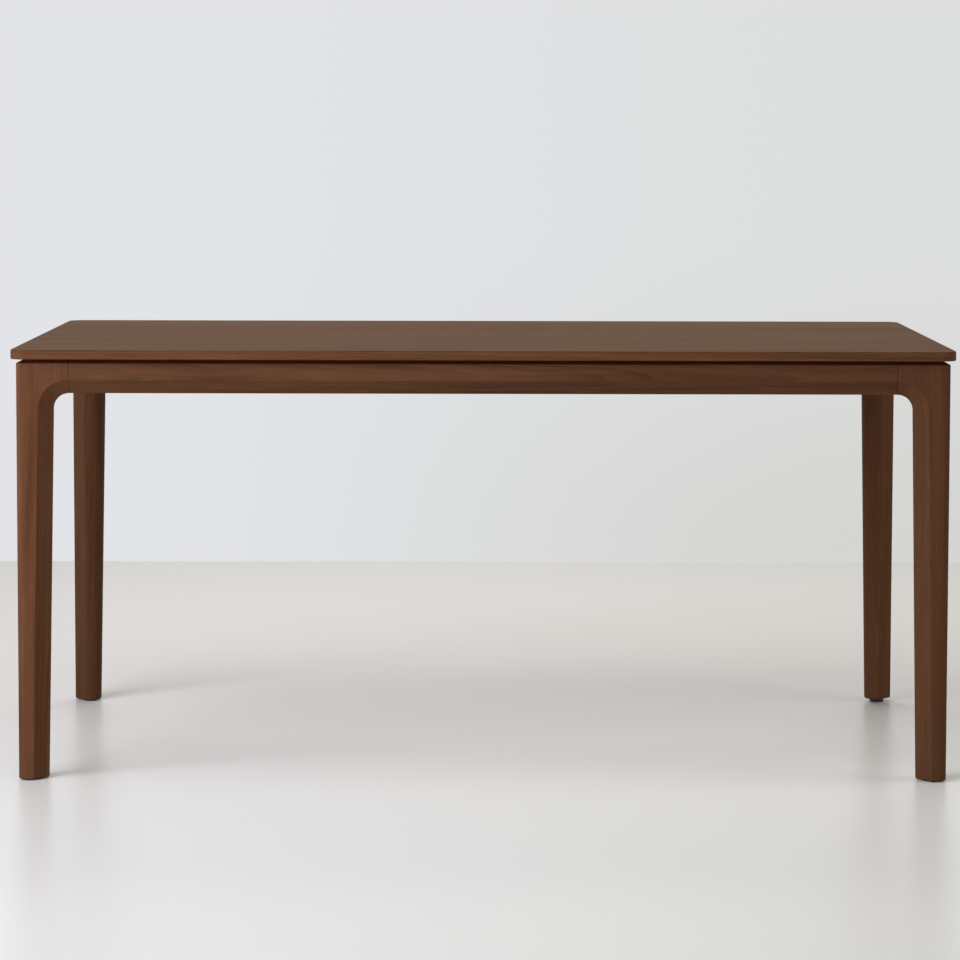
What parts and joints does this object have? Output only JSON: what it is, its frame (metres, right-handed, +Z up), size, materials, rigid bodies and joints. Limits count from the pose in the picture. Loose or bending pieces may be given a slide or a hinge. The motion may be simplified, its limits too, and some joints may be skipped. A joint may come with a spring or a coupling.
{
  "type": "dining table",
  "caption": "Rectangular walnut dining table: thin top on a shadow gap over faceted rails and corner legs whose heads sweep round into the rails, on levelling feet.",
  "frame": {"origin": "on the floor under the middle of the top", "axes": "+X along the length, +Z up, -Y towards the front long side"},
  "size_m": [1.6, 0.85, 0.735],
  "materials": {
    "walnut_veneer": "oiled walnut veneer, fine long grain, satin",
    "walnut": "oiled solid walnut, satin",
    "panel_core": "raw board, hidden inside the top",
    "stained_spacer": "dark stained wood, matt",
    "beech": "planed beech, unfinished",
    "zinc_steel": "bright zinc plate",
    "brass_insert": "plain turned brass",
    "black_plastic": "moulded, matt black"
  },
  "bodies": {
    "frame": {"tabletop_face_veneer": "walnut_veneer", "tabletop_backing_veneer": "walnut_veneer", "tabletop_core": "panel_core", "lipping_front": "walnut", "lipping_rear": "walnut", "lipping_left": "walnut", "lipping_right": "walnut", "rail_front": "walnut", "rail_rear": "walnut", "rail_left": "walnut", "rail_right": "walnut", "leg_front_left": "walnut", "leg_front_right": "walnut", "leg_rear_left": "walnut", "leg_rear_right": "walnut", "spacer_front": "stained_spacer", "spacer_rear": "stained_spacer", "spacer_left": "stained_spacer", "spacer_right": "stained_spacer", "bearer_left": "beech", "bearer_right": "beech", "rail_dowels": "beech", "bearer_dowels": "beech", "corner_block_front_left": "beech", "corner_block_front_right": "beech", "corner_block_rear_left": "beech", "corner_block_rear_right": "beech", "hanger_bolts": "zinc_steel", "hanger_washers": "zinc_steel", "hanger_nuts": "zinc_steel", "corner_block_screws": "zinc_steel", "bearer_screws": "zinc_steel", "top_brackets": "zinc_steel", "bracket_rail_screws": "zinc_steel", "bracket_top_screws": "zinc_steel", "foot_inserts": "brass_insert"},
    "foot_screw_front_left": {"foot_stem_front_left": "zinc_steel"},
    "foot_pad_front_left": {"foot_pad_front_left": "black_plastic"},
    "foot_screw_front_right": {"foot_stem_front_right": "zinc_steel"},
    "foot_pad_front_right": {"foot_pad_front_right": "black_plastic"},
    "foot_screw_rear_left": {"foot_stem_rear_left": "zinc_steel"},
    "foot_pad_rear_left": {"foot_pad_rear_left": "black_plastic"},
    "foot_screw_rear_right": {"foot_stem_rear_right": "zinc_steel"},
    "foot_pad_rear_right": {"foot_pad_rear_right": "black_plastic"}
  },
  "joints": [
    {"name": "foot_height_front_left", "type": "slide", "parent": "frame", "child": "foot_screw_front_left", "axis": [0, 0, -1], "range_m": [-0.002, 0.01]},
    {"name": "foot_turn_front_left", "type": "hinge", "parent": "foot_screw_front_left", "child": "foot_pad_front_left", "pos_m": [-0.7635, -0.3885, 0], "axis": [0, 0, -1], "range_deg": [-575, 2880]},
    {"name": "foot_height_front_right", "type": "slide", "parent": "frame", "child": "foot_screw_front_right", "axis": [0, 0, -1], "range_m": [-0.002, 0.01]},
    {"name": "foot_turn_front_right", "type": "hinge", "parent": "foot_screw_front_right", "child": "foot_pad_front_right", "pos_m": [0.7635, -0.3885, 0], "axis": [0, 0, -1], "range_deg": [-575, 2880]},
    {"name": "foot_height_rear_left", "type": "slide", "parent": "frame", "child": "foot_screw_rear_left", "axis": [0, 0, -1], "range_m": [-0.002, 0.01]},
    {"name": "foot_turn_rear_left", "type": "hinge", "parent": "foot_screw_rear_left", "child": "foot_pad_rear_left", "pos_m": [-0.7635, 0.3885, 0], "axis": [0, 0, -1], "range_deg": [-575, 2880]},
    {"name": "foot_height_rear_right", "type": "slide", "parent": "frame", "child": "foot_screw_rear_right", "axis": [0, 0, -1], "range_m": [-0.0065, 0.0055]},
    {"name": "foot_turn_rear_right", "type": "hinge", "parent": "foot_screw_rear_right", "child": "foot_pad_rear_right", "pos_m": [0.7635, 0.3885, 0], "axis": [0, 0, -1], "range_deg": [-1870, 1580]}
  ],
  "couplings": [
    {"joint": "foot_height_front_left", "follows": "foot_turn_front_left", "m_per_rad": 0.00019894},
    {"joint": "foot_height_front_right", "follows": "foot_turn_front_right", "m_per_rad": 0.00019894},
    {"joint": "foot_height_rear_left", "follows": "foot_turn_rear_left", "m_per_rad": 0.00019894},
    {"joint": "foot_height_rear_right", "follows": "foot_turn_rear_right", "m_per_rad": 0.00019894}
  ]
}
